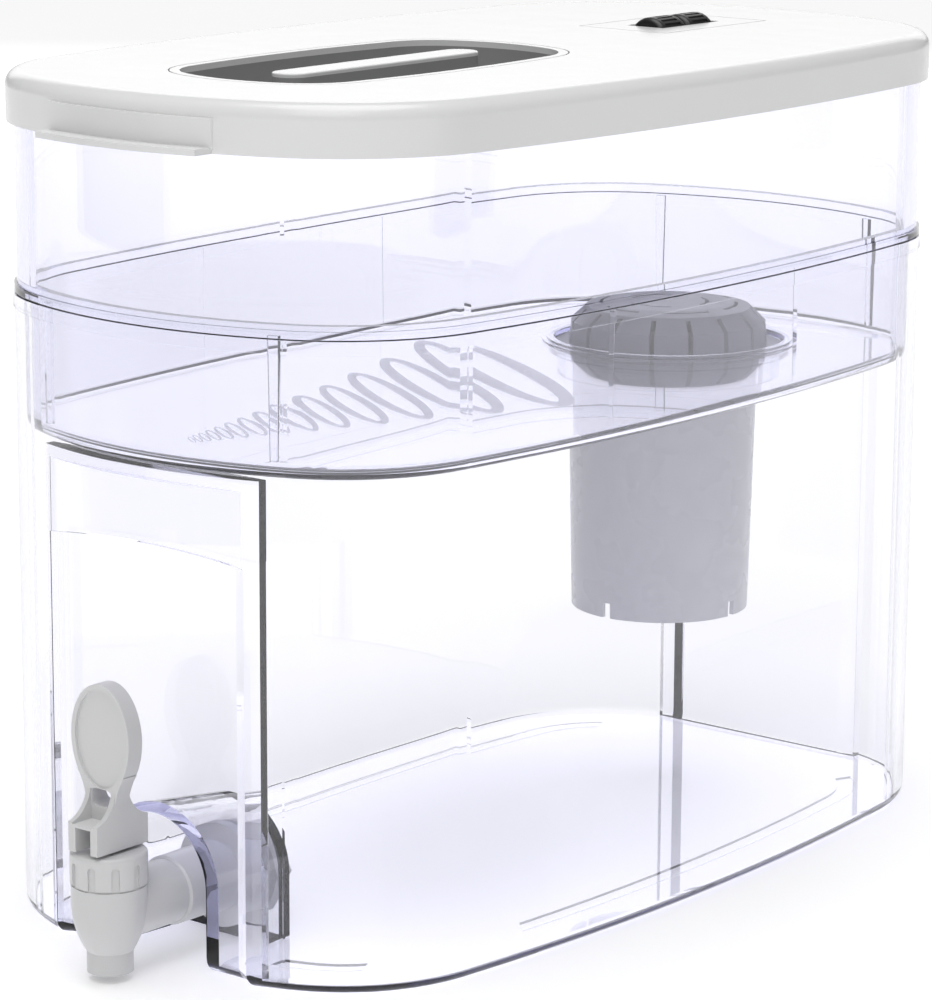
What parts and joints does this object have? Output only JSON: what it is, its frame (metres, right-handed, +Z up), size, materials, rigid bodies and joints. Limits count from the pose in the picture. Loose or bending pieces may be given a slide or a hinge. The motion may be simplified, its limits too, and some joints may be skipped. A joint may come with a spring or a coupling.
{
  "type": "countertop water dispenser",
  "caption": "Clear oval countertop water dispenser: a lower tank with a front spigot, a nesting upper reservoir with a drop-in filter cartridge, and a white lid with a refill hatch.",
  "frame": {"origin": "middle of the flat base of the oval tank, on the plane that it rests on", "axes": "+Z up; -Y points out of the front, along the spigot shank; X runs across the narrow way"},
  "size_m": [0.18, 0.3425, 0.2558],
  "materials": {
    "clear_shell": "clear polished plastic with a faint lavender tint",
    "white_shell": "satin white moulded plastic",
    "grey_insert": "matte mid-grey plastic",
    "black_wheel": "black moulded plastic",
    "filter_cap_plastic": "satin cool grey plastic",
    "filter_cup_plastic": "satin pale grey plastic",
    "spigot_plastic": "satin light grey plastic",
    "washer_rubber": "soft grey silicone",
    "steel_pin": "drawn stainless steel",
    "mesh_cloth": "fine white mesh",
    "media_grain": "mixed grain filter media"
  },
  "bodies": {
    "tank": {"lower_tank": "clear_shell", "spigot_body": "spigot_plastic", "spigot_bonnet": "spigot_plastic", "spigot_shank": "spigot_plastic", "outer_washer": "washer_rubber", "inner_washer": "washer_rubber", "hex_nut": "spigot_plastic", "valve_spring": "steel_pin"},
    "reservoir": {"upper_reservoir": "clear_shell"},
    "cartridge": {"cartridge_cap": "filter_cap_plastic", "cartridge_body": "filter_cup_plastic", "cartridge_seal": "washer_rubber", "bottom_screen": "mesh_cloth", "filter_media": "media_grain", "top_screen": "mesh_cloth"},
    "lid": {"lid": "white_shell", "reminder_plate": "white_shell", "reminder_housing": "grey_insert", "wheel_axle": "steel_pin"},
    "hatch": {"hatch_rim": "white_shell", "hatch_dish": "grey_insert", "hatch_grip": "grey_insert", "grip_cap": "white_shell"},
    "month_wheel": {"month_wheel": "black_wheel"},
    "day_wheel": {"day_wheel": "black_wheel"},
    "valve": {"valve_stem": "spigot_plastic", "valve_seal": "washer_rubber", "lever_pin": "steel_pin"},
    "lever": {"spigot_lever": "spigot_plastic"}
  },
  "joints": [
    {"name": "reservoir_lift", "type": "slide", "parent": "tank", "child": "reservoir", "axis": [0, 0, 1], "range_m": [0, 0.14]},
    {"name": "lid_lift", "type": "slide", "parent": "reservoir", "child": "lid", "axis": [0, 0, 1], "range_m": [0, 0.08]},
    {"name": "hatch_lift", "type": "slide", "parent": "lid", "child": "hatch", "axis": [0, 0, 1], "range_m": [0, 0.05]},
    {"name": "cartridge_lift", "type": "slide", "parent": "reservoir", "child": "cartridge", "axis": [0, 0, 1], "range_m": [0, 0.07]},
    {"name": "month_turn", "type": "hinge", "parent": "lid", "child": "month_wheel", "pos_m": [0, 0.0872, 0.2483], "axis": [0, 1, 0], "continuous": true},
    {"name": "day_turn", "type": "hinge", "parent": "lid", "child": "day_wheel", "pos_m": [0, 0.1018, 0.2483], "axis": [0, 1, 0], "continuous": true},
    {"name": "valve_lift", "type": "slide", "parent": "tank", "child": "valve", "axis": [0, 0, 1], "range_m": [0, 0.0036], "deforming": ["valve_spring"]},
    {"name": "lever_tilt", "type": "hinge", "parent": "valve", "child": "lever", "pos_m": [0, -0.1703, 0.0434], "axis": [1, 0, 0], "range_deg": [0, 20], "stiffness_Nm_per_rad": 0.3, "springref_deg": -5.73}
  ],
  "couplings": [
    {"joint": "valve_lift", "follows": "lever_tilt", "m_per_rad": 0.0103}
  ]
}
